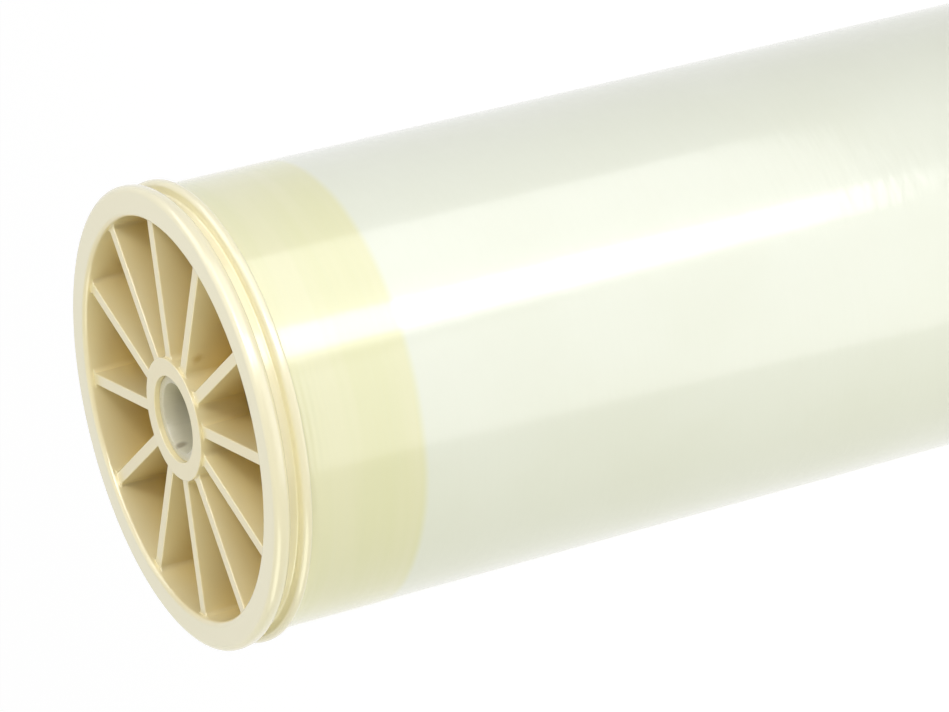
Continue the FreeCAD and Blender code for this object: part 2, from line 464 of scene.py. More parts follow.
@dataclass(frozen=True)
class MouldedPlastic:
    """Glossy ivory plastic of a moulded end cap, with painted shade that makes it darker and
    browner next to the roll.

    The painted shade grows with the depth in metres below the end's face, and stops at the
    rim, over the two distances from the rim's bore that rim_fade gives.
    """

    colour: Triple = shade(240, 233, 200)
    warm: Triple = shade(237, 229, 190)
    # Colour of the painted shade deep in the windows, darker and browner than the plastic.
    painted_deep_shade: Triple = shade(227, 201, 121)
    deep_shade_start: float = -0.008
    deep_shade_end: float = 0.0245
    deep_shade_share: float = 0.95
    deep_shade_wander: float = 0.006
    rim_fade: tuple[float, float] = (0.0005, 0.0025)
    mark: Mark = Mark(
        shade(190, 154, 66), place=(0.0237, -0.0261, 1.0081), core=0.0017, reach=0.0051,
        raggedness=0.002)
    roughness: float = 0.31
    roughness_drift: float = 0.02
    swell_depth: float = 0.00003

    def material(self, length: float, rim_bore: float) -> Material:
        """Make the material.

        Args:
            length: Length of the element in mm.
            rim_bore: Inside radius of the rim in mm.

        Returns:
            The material.
        """
        graph = Graph.of_material("moulded_plastic")
        cloud = graph.noise(7.0, 1.0)
        tone = graph.mixed(graph.between(cloud, 0.1, 0.9, smooth=False), self.colour, self.warm)
        # Painted shade: the colour turns darker and browner with depth below the end's face, and
        # stops at the rim.
        wander = graph.scaled(graph.noise(45.0, 1.0), self.deep_shade_wander, -self.deep_shade_wander / 2)
        depth = graph.sum_of(graph.below_end(length), wander)
        deep_shade = graph.between(
            depth, self.deep_shade_start, self.deep_shade_end, 0.0, self.deep_shade_share, smooth=False)
        radius = graph.distance(graph.stretched((1.0, 1.0, 0.0)), (0.0, 0.0, 0.0))
        fade_start, fade_end = (rim_bore * METRES + step for step in self.rim_fade)
        deep_shade = graph.calculate(
            "MULTIPLY", deep_shade, graph.between(radius, fade_start, fade_end, 1.0, 0.0))
        tone = self.mark.over(graph, graph.mixed(deep_shade, tone, self.painted_deep_shade))
        roughness = graph.between(
            graph.noise(40.0, 1.0), 0.3, 0.7,
            self.roughness - self.roughness_drift, self.roughness + self.roughness_drift)
        swell = graph.bump(graph.noise(30.0, 1.0), self.swell_depth, 0.2)
        return graph.done(Base_Color=tone, Roughness=roughness, Normal=swell, IOR=1.53,
                          Coat_Weight=0.9, Coat_Roughness=0.14, Coat_Normal=swell)


@dataclass(frozen=True)
class TubePlastic:
    """Grey, slightly warm plastic of the extruded product tube.

    It has an extrusion's faint lengthwise lines, and a soft dark brown mark low in the brine
    end's mouth.
    """

    colour: Triple = shade(213, 208, 184)
    cloudy: Triple = shade(203, 197, 170)
    line: Triple = shade(180, 174, 148)
    mark: Mark = Mark(
        shade(104, 84, 48), place=(-0.0116, 0.0091, 1.0104), core=0.00072, reach=0.0024,
        stretch=1.8)
    roughness_low: float = 0.27
    roughness_high: float = 0.40
    line_depth: float = 0.00004

    def material(self) -> Material:
        """Make the material."""
        graph = Graph.of_material("tube_plastic")
        lines = graph.noise((900.0, 900.0, 4.0), 3.0)
        cloud = graph.noise(20.0, 2.0)
        tone = graph.mixed(graph.between(cloud, 0.3, 0.7, 0.0, 0.5), self.colour, self.cloudy)
        tone = graph.mixed(graph.between(lines, 0.4, 0.7, 0.0, 0.1), tone, self.line)
        tone = self.mark.over(graph, tone)
        roughness = graph.between(lines, 0.3, 0.7, self.roughness_low, self.roughness_high)
        relief = graph.bump(lines, self.line_depth, 0.5)
        return graph.done(Base_Color=tone, Roughness=roughness, Normal=relief, IOR=1.5)


@dataclass(frozen=True)
class WoundFibreglass:
    """Resin-rich wound fibreglass: pale, glossy, and yellower where it lies over tape.

    The yellow fades out past the tape's end, round a place that wanders a little. Depths
    of relief and lengths are in metres.
    """

    colour: Triple = shade(233, 236, 222)
    cloudy: Triple = shade(229, 232, 215)
    over_tape: Triple = shade(228, 228, 184)
    over_tape_cloudy: Triple = shade(227, 226, 181)
    cream: Triple = shade(233, 230, 193)
    strand: Triple = shade(222, 227, 208)
    past_tape: float = 0.002
    fade: float = 0.0022
    wander: float = 0.004
    roughness_low: float = 0.20
    roughness_high: float = 0.25
    lump_depth: float = 0.00012
    ridge_depth: float = 0.0001
    strand_depth: float = 0.000003

    def material(self, length: float, tape_end: float) -> Material:
        """Make the material.

        Args:
            length: Length of the element in mm.
            tape_end: Where the feed end's tape band stops, in mm.

        Returns:
            The material.
        """
        graph = Graph.of_material("wound_fibreglass")
        wander = graph.scaled(graph.noise(9.0, 3.0), self.wander)
        depth = graph.sum_of(graph.below_end(length), wander)
        edge = tape_end * METRES + self.past_tape
        taped = graph.between(depth, edge - self.fade, edge + self.fade, 1.0, 0.0)
        roving = graph.noise((7.0, 7.0, 260.0), 4.0)
        strands = graph.noise((18.0, 18.0, 1500.0), 3.0)
        cloud = graph.between(graph.noise(16.0, 3.0), 0.3, 0.7)
        streak = graph.between(graph.scaled(roving, 0.6, 0.5), 0.2, 0.8)
        share = graph.scaled(graph.sum_of(streak, cloud), 0.5)
        plain = graph.mixed(share, self.colour, self.cloudy)
        banded = graph.mixed(share, self.over_tape, self.over_tape_cloudy)
        wraps = graph.noise((5.0, 5.0, 85.0), 2.0)
        banded = graph.mixed(graph.between(wraps, 0.35, 0.7, 0.6, 0.0), banded, self.cream)
        tone = graph.mixed(taped, plain, banded)
        tone = graph.mixed(graph.between(strands, 0.45, 0.75, 0.0, 0.06), tone, self.strand)
        lumps = graph.noise((55.0, 55.0, 150.0), 2.0)
        ridges = graph.bump(
            roving, self.ridge_depth, 0.3, graph.bump(lumps, self.lump_depth, 0.8))
        relief = graph.bump(strands, self.strand_depth, 0.2, ridges)
        roughness = graph.between(strands, 0.3, 0.7, self.roughness_low, self.roughness_high)
        return graph.done(Base_Color=tone, Roughness=roughness, Normal=relief, IOR=1.5,
                          Coat_Weight=0.8, Coat_Roughness=0.1, Coat_Normal=ridges)


@dataclass(frozen=True)
class LeafEdges:
    """Cut edges of the wound leaves: glued envelopes with net between them, in browns darker than
    their own colours as painted shade for the deep windows, darkest on the net in the gaps.
    """

    # Painted shade: these browns are darker than the leaves' own colours, to darken the deep
    # windows.
    glued: Triple = shade(178, 146, 92)
    pale: Triple = shade(198, 176, 128)
    net: Triple = shade(92, 66, 34)
    net_pale: Triple = shade(140, 108, 62)
    net_depth: float = 0.0003

    def material(self) -> Material:
        """Make the material, which reads how far each point lies in a gap between leaves."""
        graph = Graph.of_material("leaf_edges_painted_shade")
        gap = graph.put("ShaderNodeAttribute", attribute_name=MembraneRoll.GAP).outputs["Fac"]
        patchy = graph.noise(120.0, 4.0)
        edge = graph.mixed(graph.between(patchy, 0.35, 0.65), self.glued, self.pale)
        speckle = graph.between(graph.noise(1300.0, 3.0), 0.35, 0.6)
        mesh = graph.mixed(speckle, self.net, self.net_pale)
        tone = graph.mixed(graph.between(gap, 0.25, 0.6), edge, mesh)
        relief = graph.bump(graph.noise(1500.0, 3.0), self.net_depth, 0.6)
        return graph.done(Base_Color=tone, Roughness=0.62, Normal=relief)


@dataclass(frozen=True)
class Rubber:
    """Black moulded rubber of the brine seal, with a bloom in places."""

    colour: Triple = shade(34, 34, 35)
    bloom: Triple = shade(62, 62, 62)
    roughness_low: float = 0.42
    roughness_high: float = 0.60
    grain_depth: float = 0.00003

    def material(self) -> Material:
        """Make the material."""
        graph = Graph.of_material("seal_rubber")
        cloud = graph.noise(45.0, 4.0)
        tone = graph.mixed(graph.between(cloud, 0.45, 0.75, 0.0, 0.6), self.colour, self.bloom)
        roughness = graph.between(cloud, 0.3, 0.7, self.roughness_low, self.roughness_high)
        relief = graph.bump(graph.noise(2500.0, 2.0), self.grain_depth, 0.5)
        return graph.done(Base_Color=tone, Roughness=roughness, Normal=relief)


@dataclass(frozen=True)
class Wrapping:
    """Film, tape or cloth wound round the element, with the lines of its turns."""

    name: str
    colour: Triple
    line: Triple
    turns_per_metre: float
    roughness: float
    depth: float
    drift: float = 0.01

    def material(self) -> Material:
        """Make the material, whose lines run round the element and drift a little."""
        graph = Graph.of_material(self.name)
        drift = graph.scaled(graph.noise(12.0, 2.0), self.drift)
        turn = graph.scaled(graph.sum_of(graph.along_axis(), drift), self.turns_per_metre)
        wave = graph.calculate("PINGPONG", turn, 1.0)
        tone = graph.mixed(graph.between(wave, 0.0, 0.12, 0.7, 0.0), self.colour, self.line)
        cloud = graph.between(graph.noise(35.0, 3.0), 0.4, 0.8, 0.0, 0.3)
        tone = graph.mixed(cloud, tone, self.line)
        weave = graph.noise((1500.0, 1500.0, 900.0), 2.0)
        relief = graph.bump(weave, self.depth, 0.6)
        return graph.done(Base_Color=tone, Roughness=self.roughness, Normal=relief)


WRAPPINGS = {
    Wrapping("carrier_cloth", shade(232, 230, 222), shade(205, 203, 196), 260.0, 0.85, 0.0003):
        ("core_wrap",),
    Wrapping("clear_film", shade(214, 216, 208), shade(190, 194, 186), 22.0, 0.3, 0.00005):
        ("wrap_film",),
    Wrapping("binding_tape", shade(214, 208, 150), shade(196, 188, 128), 60.0, 0.45, 0.0001):
        ("feed_end_tape", "brine_end_tape"),
}
"""Each wrapping, and the CAD nodes that wear it."""


# ---- pieces
def added(name: str, data: bpy.types.ID) -> bpy.types.Object:
    """Make an object of a mesh, a lamp or a camera, and put it in the scene."""
    item = bpy.data.objects.new(name, data)
    bpy.context.scene.collection.objects.link(item)
    return item


@dataclass(frozen=True)
class Piece:
    """How one finished surface joins the element."""

    name: str
    slot: str
    replaces: tuple[str, ...]
    sharp_above: float = 40.0

    def make(
        self, sheet: Sheet, material: Material,
        values: Mapping[str, np.ndarray] | None = None,
    ) -> None:
        """Make the object, which rides on the element, from its surface.

        Points that meet are merged, faces are turned outwards, and edges sharper than the
        limit stay crisp.

        Args:
            sheet: The surface in mm.
            material: Its material.
            values: One number per point for each named attribute.
        """
        mesh = bpy.data.meshes.new(self.name)
        mesh.vertices.add(len(sheet.points))
        mesh.vertices.foreach_set("co", (sheet.points * METRES).astype(np.float32).ravel())
        mesh.loops.add(sheet.faces.size)
        mesh.loops.foreach_set("vertex_index", sheet.faces.astype(np.int32).ravel())
        mesh.polygons.add(len(sheet.faces))
        corners = sheet.faces.shape[1]
        starts = np.arange(0, sheet.faces.size, corners, dtype=np.int32)
        mesh.polygons.foreach_set("loop_start", starts)
        for name, numbers in (values or {}).items():
            attribute = mesh.attributes.new(name, "FLOAT", "POINT")
            attribute.data.foreach_set("value", numbers.astype(np.float32).ravel())
        mesh.update(calc_edges=True)
        mesh.validate()
        body = bmesh.new()
        body.from_mesh(mesh)
        bmesh.ops.remove_doubles(body, verts=body.verts, dist=SAME_POINT)
        bmesh.ops.dissolve_degenerate(body, edges=body.edges, dist=NO_LENGTH)
        bmesh.ops.recalc_face_normals(body, faces=body.faces)
        open_edges = sum(1 for edge in body.edges if not edge.is_manifold)
        body.to_mesh(mesh)
        body.free()
        mesh.shade_smooth()
        mesh.set_sharp_from_angle(angle=math.radians(self.sharp_above))
        mesh.materials.append(material)
        piece = added(self.name, mesh)
        shading = piece.modifiers.new("even_shading", "WEIGHTED_NORMAL")
        shading.keep_sharp = True
        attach(piece, "root")
        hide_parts(*self.replaces)
        log.info("%s: %d faces, %d open edges", self.name, len(mesh.polygons), open_edges)


def dress_node(node: str, material: Material) -> None:
    """Give a CAD node its material.

    Args:
        node: Name of the CAD node.
        material: The material.
    """
    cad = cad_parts[node]
    cad.data.materials.clear()
    cad.data.materials.append(material)
    log.info("%s: %s", node, material.name)


@dataclass(frozen=True)
class EndCap:
    """One moulded end cap, built at the feed end: rim, seal groove, flange, skirt, spokes, hub.

    The last fields count the rows of a window's walls, and the chords of its outline.
    """

    PARALLEL = 1e-9
    TOUCHING = 1e-6

    element_length: float
    rim_radius: float
    cap_depth: float
    flange_back: float
    skirt_radius: float
    shell_radius: float
    tube_radius: float
    roll_seat: float = 5.0
    rim_width: float = 8.0
    rim_outer_round: float = 2.6
    rim_inner_round: float = 2.0
    groove_width: float = 4.8
    groove_depth: float = 5.5
    flange_height: float = 3.2
    rim_back_round: float = 4.0
    flange_front_round: float = 2.4
    flange_back_round: float = 1.2
    groove_root: float = 0.8
    hub_clearance: float = 0.05
    hub_wall: float = 7.9
    hub_recess: float = 1.5
    hub_edge: float = 0.4
    hub_bore_edge: float = 0.4
    spokes: int = 12
    spoke_recess: float = 3.0
    spoke_thickness: float = 5.2
    spoke_draft: float = 1.0
    spoke_edge: float = 0.45
    edge_room: float = 0.75
    hub_corner: float = 2.6
    rim_corner: float = 2.0
    round_rows: int = 5
    wall_rows: int = 3
    hub_chords: int = 4
    hub_corner_chords: tuple[int, int] = (5, 6)
    flank_chords: int = 12
    rim_corner_chords: tuple[int, int] = (6, 4)
    rim_chords: int = 11

    @property
    def half_window(self) -> float:
        """Angle from a window's middle to the middle of a spoke."""
        return math.pi / self.spokes

    @property
    def rim_bore(self) -> float:
        """Inside radius of the rim."""
        return self.skirt_radius - self.roll_seat

    @property
    def hub_bore(self) -> float:
        """Radius of the hole that the tube sits in."""
        return self.tube_radius + self.hub_clearance

    @property
    def hub_radius(self) -> float:
        """Outside radius of the hub."""
        return self.hub_bore + self.hub_wall

    def reach(
        self, start: np.ndarray, along: np.ndarray, circle: float, outwards: bool
    ) -> np.ndarray:
        """Give how far rays run before the spoke's middle line or a circle.

        The middle line is met at -(P.m) / (n.m), with m square to it, and the circle at
        the root of |P + t n| = circle that lies on the side the ray runs to.

        Args:
            start: Where the rays start, n by 2.
            along: Their directions, n by 2.
            circle: Radius of the hub or of the rim's bore.
            outwards: Whether the rays run away from the axis.

        Returns:
            The distances.
        """
        square = np.array([-math.sin(self.half_window), math.cos(self.half_window)])
        towards = along @ square
        meets = towards > self.PARALLEL
        to_line = np.where(meets, -(start @ square) / np.where(meets, towards, 1.0), np.inf)
        half = np.sum(start * along, axis=1)
        beyond = half**2 - (np.sum(start**2, axis=1) - circle**2)
        root = np.sqrt(np.maximum(beyond, 0.0))
        to_circle = -half + root if outwards else -half - root
        to_circle = np.where(beyond < 0, np.inf, to_circle)
        return np.maximum(np.minimum(to_line, to_circle), 0.0)

    def corner(
        self, circle: float, fillet: float, half_spoke: float
    ) -> tuple[np.ndarray, float, float]:
        """Place the arc in one corner of a window.

        Its centre lies |fillet| from the circle and from the spoke's flank. Its split is
        the direction from there to where the spoke's middle line meets the circle.

        Args:
            circle: Radius of the hub or of the rim's bore, in mm.
            fillet: The arc's radius, below 0 where its centre lies inside the circle.
            half_spoke: Half the spoke's thickness at this depth, in mm.

        Returns:
            The centre, the angle it lies at, and the split's angle.
        """
        away = circle + fillet
        turn = self.half_window - math.asin((half_spoke + abs(fillet)) / away)
        centre = away * np.array([math.cos(turn), math.sin(turn)])
        spoke = np.array([math.cos(self.half_window), math.sin(self.half_window)])
        across, up = circle * spoke - centre
        return centre, turn, math.atan2(up, across) % FULL_TURN

    def half_outline(self, half_spoke: float) -> tuple[np.ndarray, np.ndarray, np.ndarray]:
        """Give the upper half of a window's outline, from hub to rim.

        It follows the hub's circle, the hub's corner arc, the spoke's flank, the rim's
        corner arc and the rim's circle.

        Args:
            half_spoke: Half the spoke's thickness at this depth, in mm.

        Returns:
            Points, the directions out of the window, and how far each may run that way.
        """
        flank = self.half_window + math.pi / 2
        hub_centre, hub_turn, hub_split = self.corner(self.hub_radius, self.hub_corner, half_spoke)
        rim_centre, rim_turn, rim_split = self.corner(self.rim_bore, -self.rim_corner, half_spoke)
        hub_first, hub_second = self.hub_corner_chords
        rim_first, rim_second = self.rim_corner_chords
        hub_arc = np.linspace(0, hub_turn, self.hub_chords + 1)[:-1]
        hub_bend = np.concatenate([
            np.linspace(hub_turn + math.pi, hub_split, hub_first + 1)[:-1],
            np.linspace(hub_split, flank, hub_second + 1)])
        rim_bend = np.concatenate([
            np.linspace(flank, rim_split, rim_first + 1)[:-1],
            np.linspace(rim_split, rim_turn, rim_second + 1)])
        rim_arc = np.linspace(rim_turn, 0, self.rim_chords + 1)[1:]
        hub_points = hub_centre + self.hub_corner * on_circle(hub_bend)
        rim_points = rim_centre + self.rim_corner * on_circle(rim_bend)
        share = np.linspace(0, 1, self.flank_chords + 1)[1:-1, None]
        flank_points = hub_points[-1] * (1 - share) + rim_points[0] * share
        points = np.concatenate([
            self.hub_radius * on_circle(hub_arc), hub_points, flank_points, rim_points,
            self.rim_bore * on_circle(rim_arc)])
        outward = np.concatenate([
            -on_circle(hub_arc), on_circle(hub_bend), on_circle(np.full(len(share), flank)),
            on_circle(rim_bend), on_circle(rim_arc)])
        inner = len(hub_arc) + len(hub_bend)
        limits = np.concatenate([
            self.reach(points[:inner], outward[:inner], self.hub_radius, False),
            self.reach(points[inner:], outward[inner:], self.rim_bore, True)])
        limits[:len(hub_arc) + 1] = 0.0
        limits[-len(rim_arc) - 1:] = 0.0
        return points, outward, limits

    @staticmethod
    def whole(half: np.ndarray, sign: float) -> np.ndarray:
        """Close a half outline with its mirror image below the window's middle line.

        Args:
            half: Values along the upper half.
            sign: Factor on the second column of the mirrored half.

        Returns:
            Values along the whole loop.
        """
        mirrored = half[1:-1][::-1].copy()
        if mirrored.ndim == 2:
            mirrored[:, 1] *= sign
        return np.concatenate([half, mirrored])

    def window_cell(self) -> tuple[Sheet, np.ndarray, np.ndarray]:
        """Build the walls of one window, and the spoke fronts and backs that border it.

        The rows run from the cell's edge (the spokes' middle lines, the hub and the rim),
        over the rounded edge, which is a quarter circle in the plane of the outward
        direction and the axis, down the drafted wall, and back out to the cell's edge. The
        rounding takes at most the share edge_room of the way to the cell's edge.

        Returns:
            The surface, and the angles at which it meets the hub and the rim.
        """
        floor = self.cap_depth - self.spoke_recess
        draft = floor * math.tan(math.radians(self.spoke_draft))
        front, outward, limit = self.half_outline(self.spoke_thickness / 2)
        back = self.half_outline(self.spoke_thickness / 2 + draft)[0]
        edge_half = front + outward * limit[:, None]
        front, back = self.whole(front, -1.0), self.whole(back, -1.0)
        outward, limit = self.whole(outward, -1.0), self.whole(limit, 1.0)
        edge = self.whole(edge_half, -1.0)
        rounding = np.minimum(self.spoke_edge, limit * self.edge_room)
        turn = np.linspace(0, math.pi / 2, self.round_rows)[:, None]
        round_depth = rounding * (1 - np.cos(turn))
        round_out = rounding * (1 - np.sin(turn))
        part = np.linspace(0, 1, self.wall_rows + 1)[1:, None]
        wall_depth = rounding + (floor - rounding) * part
        depth = np.concatenate([round_depth, wall_depth])
        out = np.concatenate([round_out, np.zeros_like(wall_depth)])
        share = (depth / floor)[..., None]
        wall = front * (1 - share) + back * share + outward * out[..., None]
        rows = np.concatenate([edge[None], wall, edge[None]])
        level = np.ones((1, len(front)))
        heights = np.concatenate([0.0 * level, depth, floor * level])
        cell = np.concatenate([rows, (heights + self.spoke_recess)[..., None]], axis=-1)
        radius = np.hypot(edge[:, 0], edge[:, 1])
        around = np.arctan2(edge[:, 1], edge[:, 0])
        at_hub = np.sort(around[np.abs(radius - self.hub_radius) < self.TOUCHING])
        at_rim = np.sort(around[np.abs(radius - self.rim_bore) < self.TOUCHING])
        return Sheet.grid(cell, wrap_columns=True), at_hub, at_rim

    def shared_out(self, angles: np.ndarray) -> np.ndarray:
        """Repeat one window's angles for every window, without the one shared by neighbours."""
        windows = np.arange(self.spokes)[:, None] * (2 * self.half_window)
        return (windows + angles[None, :-1]).ravel()

    def rim_profile(self) -> np.ndarray:
        """Profile of the rim, groove, flange and skirt, from the windows' front to their back."""
        groove = self.rim_radius - self.groove_depth
        flange = self.shell_radius + self.flange_height
        flange_front = self.rim_width + self.groove_width
        return rounded([
            (self.rim_bore, self.spoke_recess),
            (self.rim_bore, 0.0, self.rim_inner_round),
            (self.rim_radius, 0.0, self.rim_outer_round),
            (self.rim_radius, self.rim_width, self.rim_back_round),
            (groove, self.rim_width, self.groove_root),
            (groove, flange_front, self.groove_root),
            (flange, flange_front, self.flange_front_round),
            (flange, self.flange_back, self.flange_back_round),
            (self.skirt_radius, self.flange_back),
            (self.skirt_radius, self.cap_depth),
            (self.rim_bore, self.cap_depth),
        ], closed=False)

    def hub_profile(self) -> np.ndarray:
        """Profile of the hub, from the windows' front over its face and down its bore."""
        return rounded([
            (self.hub_radius, self.spoke_recess),
            (self.hub_radius, self.hub_recess, self.hub_edge),
            (self.hub_bore, self.hub_recess, self.hub_bore_edge),
            (self.hub_bore, self.cap_depth),
            (self.hub_radius, self.cap_depth),
        ], closed=False)

    def sheet(self) -> Sheet:
        """Build the whole cap at the feed end."""
        cell, at_hub, at_rim = self.window_cell()
        turns = np.arange(self.spokes) * (2 * self.half_window)
        cosine, sine = np.cos(turns)[:, None], np.sin(turns)[:, None]
        x, y, z = cell.points.T
        points = np.stack(np.broadcast_arrays(
            cosine * x - sine * y, sine * x + cosine * y, z), axis=-1)
        offsets = np.arange(self.spokes)[:, None, None] * len(cell.points)
        windows = Sheet(points.reshape(-1, 3), (cell.faces + offsets).reshape(-1, 4))
        rim = revolved(self.rim_profile(), self.shared_out(at_rim), closed=False)
        hub = revolved(self.hub_profile(), self.shared_out(at_hub), closed=False)
        return Sheet.joined([windows, rim, hub])

    def build(self, end: End, material: Material) -> None:
        """Make the cap at one end.

        Args:
            end: Which end.
            material: The caps' material.
        """
        sheet = self.sheet()
        if end is End.BRINE:
            sheet = sheet.end_for_end(self.element_length)
        name = f"{end.value}_end_cap"
        Piece(f"{name}_moulding", "cap", (name,)).make(sheet, material)


@dataclass(frozen=True)
class ProductTube:
    """The tube that the leaves are wound on, with lead-in tapers and a bore reamed at its ends."""

    span: Span
    bore_radius: float = 14.3
    middle_radius: float = 14.0
    reamed_length: float = 60.0
    lead_in: float = 1.0
    lead_in_length: float = 3.5
    lead_in_round: float = 20.0
    mouth_edge: float = 0.3
    outer_edge: float = 0.4
    edge_chords: int = 3
    segments: int = 144

    def build(self, material: Material) -> None:
        """Make the tube.

        Args:
            material: Its material.
        """
        start, end, outer = self.span.start, self.span.end, self.span.radius
        mouth = self.bore_radius + self.lead_in
        profile = rounded([
            (outer, start, self.outer_edge),
            (outer, end, self.outer_edge),
            (mouth, end, self.mouth_edge),
            (self.bore_radius, end - self.lead_in_length, self.lead_in_round),
            (self.bore_radius, end - self.reamed_length),
            (self.middle_radius, end - self.reamed_length),
            (self.middle_radius, start + self.reamed_length),
            (self.bore_radius, start + self.reamed_length),
            (self.bore_radius, start + self.lead_in_length, self.lead_in_round),
            (mouth, start, self.mouth_edge),
        ], steps=self.edge_chords)
        sheet = revolved(profile, even_angles(self.segments))
        Piece("product_tube_turned", "tube", ("product_tube",)).make(sheet, material)


@dataclass(frozen=True)
class MembraneRoll:
    """The wound leaves, whose cut edges make a spiral relief in both end faces."""

    GAP = "gap_between_leaves"

    span: Span
    bore_radius: float
    leaves: int = 24
    leaf_pitch: float = 1.4
    gap_depth: float = 0.9
    gap_width: float = 0.2
    unevenness: float = 0.12
    waves: tuple[float, ...] = (3.0, 7.0, 13.0)
    edge_share: float = 0.02
    columns_per_leaf: int = 6
    rows_per_turn: int = 84
    seed: int = 11

    def build(self, material: Material) -> None:
        """Make the roll as one surface that wraps both ways.

        Column u starts at angle 2 pi u at the bore. On an end face it runs out along the
        spiral r = bore + (outside - bore) v, angle = 2 pi (u + turns v). Across the
        columns each leaf's gap sinks by depth * exp(-((phase - 1/2) / width)^2), and each
        leaf's edge rises and falls by a few sines along the spiral. Both fade out next to
        the bore and to the outside.

        Args:
            material: Its material.
        """
        inner, outer = self.bore_radius, self.span.radius
        turns = (outer - inner) / (self.leaf_pitch * self.leaves)
        columns = self.leaves * self.columns_per_leaf
        rows = int(round(turns * self.rows_per_turn))
        along = np.linspace(0, 1, rows)[:, None]
        around = (np.arange(columns) / columns)[None, :]
        phase = (around * self.leaves) % 1.0
        gap = np.exp(-(((phase - 0.5) / self.gap_width) ** 2))
        random = np.random.default_rng(self.seed)
        leaf = (np.arange(columns) // self.columns_per_leaf)[None, :]
        waves = np.zeros((rows, columns))
        for count in self.waves:
            start = random.uniform(0, FULL_TURN, self.leaves)[leaf]
            waves = waves + np.sin(FULL_TURN * count * along + start) / len(self.waves)
        fade = np.clip(np.minimum(along, 1 - along) / self.edge_share, 0, 1)
        sink = fade * (self.gap_depth * gap + self.unevenness * (1 + waves) * (1 - gap))
        radius = inner + (outer - inner) * along
        angle = FULL_TURN * (around + turns * along)
        feed = about_axis(radius, angle, self.span.start + sink)
        brine = about_axis(radius, angle, self.span.end - sink)
        sheet = Sheet.grid(np.concatenate([feed, brine[::-1]]), wrap_rows=True, wrap_columns=True)
        gaps = np.broadcast_to(gap, (2 * rows, columns))
        piece = Piece("membrane_roll_wound", "membrane", ("membrane_roll",), sharp_above=60.0)
        piece.make(sheet, material, {self.GAP: gaps})


@dataclass(frozen=True)
class FibreglassShell:
    """The wound shell, with turns of roving bunched beside each flange."""

    span: Span
    film_radius: float
    tape_radius: float
    tape_end: float
    element_length: float
    segments: int = 180
    turn_pitch: float = 3.1
    turn_height: float = 0.05
    bunched_turns: float = 4.0
    first_row: float = 0.35
    bunched_rows: int = 60
    gap_after_bunch: float = 3.0
    row_pitch: float = 6.0
    swell: float = 0.12
    swells: tuple[tuple[int, float], ...] = (
        (0, 71.0), (1, 113.0), (2, 167.0), (3, 59.0), (5, 229.0))
    leans: tuple[Triple, ...] = ((1.0, 0.35, 1.1), (3.0, 0.2, 0.0))
    seed: int = 5

    def build(self, material: Material) -> None:
        """Make the shell.

        The outside's radius falls short of the CAD's by a slow swell, made of a sine of
        angle and height for each pair (waves round the shell, pitch in mm), and by the
        valleys between the bunched turns near each flange, whose depth fades out over a
        few turns. Those turns lean a little round the shell, by a sine of the angle for
        each triple (waves, height, start). The radius never passes the CAD's.

        Args:
            material: Its material.
        """
        bunch = self.bunched_turns * self.turn_pitch
        near = np.linspace(self.first_row, bunch, self.bunched_rows)
        far = np.arange(bunch + self.gap_after_bunch, self.span.length / 2, self.row_pitch)
        half = np.concatenate([[0.0], near, far])
        depth = np.concatenate([half, (self.span.length - half)[::-1]])[None, :]
        angle = even_angles(self.segments)[:, None]
        random = np.random.default_rng(self.seed)
        waves = np.zeros((self.segments, depth.shape[1]))
        for around, pitch in self.swells:
            start = random.uniform(0, FULL_TURN)
            wave = np.sin(around * angle + FULL_TURN * depth / pitch + start)
            waves = waves + wave / len(self.swells)
        from_flange = np.minimum(depth, self.span.length - depth)
        lean = sum(height * np.sin(around * angle + start) for around, height, start in self.leans)
        turn = 0.5 - 0.5 * np.cos(FULL_TURN * (from_flange + lean) / self.turn_pitch)
        fade = np.clip(1 - from_flange / bunch, 0, 1)
        valley = self.turn_height * fade * (1 - turn)
        radius = self.span.radius - self.swell * (0.5 + 0.5 * waves) - valley
        outside = about_axis(radius, angle, self.span.start + depth)
        far_tape = self.element_length - self.tape_end
        inner = np.array([
            (self.tape_radius, self.span.end),
            (self.tape_radius, far_tape),
            (self.film_radius, far_tape),
            (self.film_radius, self.tape_end),
            (self.tape_radius, self.tape_end),
            (self.tape_radius, self.span.start),
        ])
        bore = about_axis(inner[:, 0], angle, inner[:, 1])
        section = np.concatenate([outside, bore], axis=1)
        sheet = Sheet.grid(section, wrap_rows=True, wrap_columns=True)
        Piece("fibreglass_shell_wound", "shell", ("fibreglass_shell",)).make(sheet, material)


@dataclass(frozen=True)
class BrineSeal:
    """The U-cup seal in the feed end's groove, open towards the feed."""

    CLEARANCE = 0.05
    HEEL_BELOW_FLANGE = 0.6

    span: Span
    seat_radius: float
    heel_radius: float
    heel: float = 1.8
    lip: float = 1.2
    seat_edge: float = 0.35
    valley_round: float = 0.4
    lip_inner_edge: float = 0.2
    lip_outer_edge: float = 0.25
    heel_outer_edge: float = 0.5
    heel_inner_edge: float = 0.3
    edge_chords: int = 4
    segments: int = 192

    def build(self, material: Material) -> None:
        """Make the seal.

        Args:
            material: Its material.
        """
        front, back, tip = self.span.start, self.span.end, self.span.radius
        valley = back - self.heel
        profile = rounded([
            (self.seat_radius, front, self.seat_edge),
            (self.seat_radius + self.lip, front, self.seat_edge),
            (self.heel_radius - 2 * self.lip, valley, self.valley_round),
            (tip - self.lip, front, self.lip_inner_edge),
            (tip, front + self.lip / 2, self.lip_outer_edge),
            (self.heel_radius, back, self.heel_outer_edge),
            (self.seat_radius, back, self.heel_inner_edge),
        ], steps=self.edge_chords)
        sheet = revolved(profile, even_angles(self.segments))
        Piece("brine_seal_ring", "seal", ("brine_seal",)).make(sheet, material)


# ---- studio
def direction(bearing: float, lift: float) -> Vector:
    """Give the unit vector at a bearing from -Y towards +X and a lift, both in degrees."""
    turn, rise = math.radians(bearing), math.radians(lift)
    return Vector((
        math.sin(turn) * math.cos(rise), -math.cos(turn) * math.cos(rise), math.sin(rise)))


